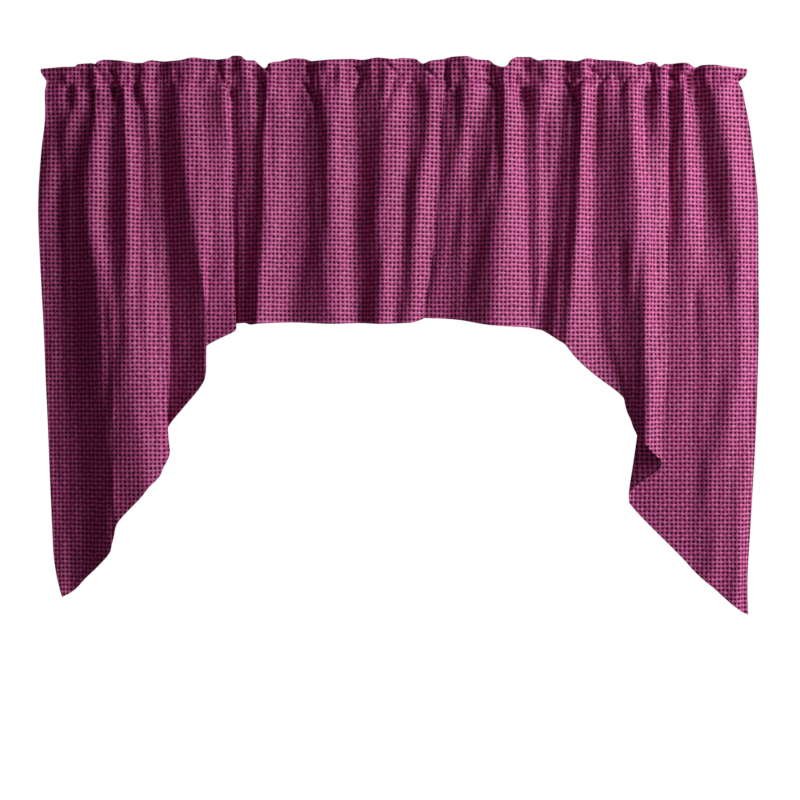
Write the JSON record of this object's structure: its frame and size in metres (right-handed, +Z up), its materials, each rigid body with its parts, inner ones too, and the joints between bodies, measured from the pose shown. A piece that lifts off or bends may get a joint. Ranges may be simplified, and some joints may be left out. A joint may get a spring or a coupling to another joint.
{
  "type": "swag and tail drape",
  "caption": "Pair of gathered cloth swags hung side by side from an open rod pocket, with a short level hem at the middle and slanting hems down to long outer tips.",
  "frame": {"origin": "on the line of the gathered top edge, halfway across the hung pair, over the middle of the rod pocket's depth", "axes": "+X to the right across the window, -Y towards the viewer, +Z up"},
  "size_m": [1.2239, 0.0746, 0.948],
  "materials": {
    "cloth": "matt coarse weave",
    "cloth_heading": "matt coarse weave"
  },
  "bodies": {
    "root": {"left_heading": "cloth_heading", "left_swag": "cloth", "right_heading": "cloth_heading", "right_swag": "cloth"}
  },
  "joints": []
}
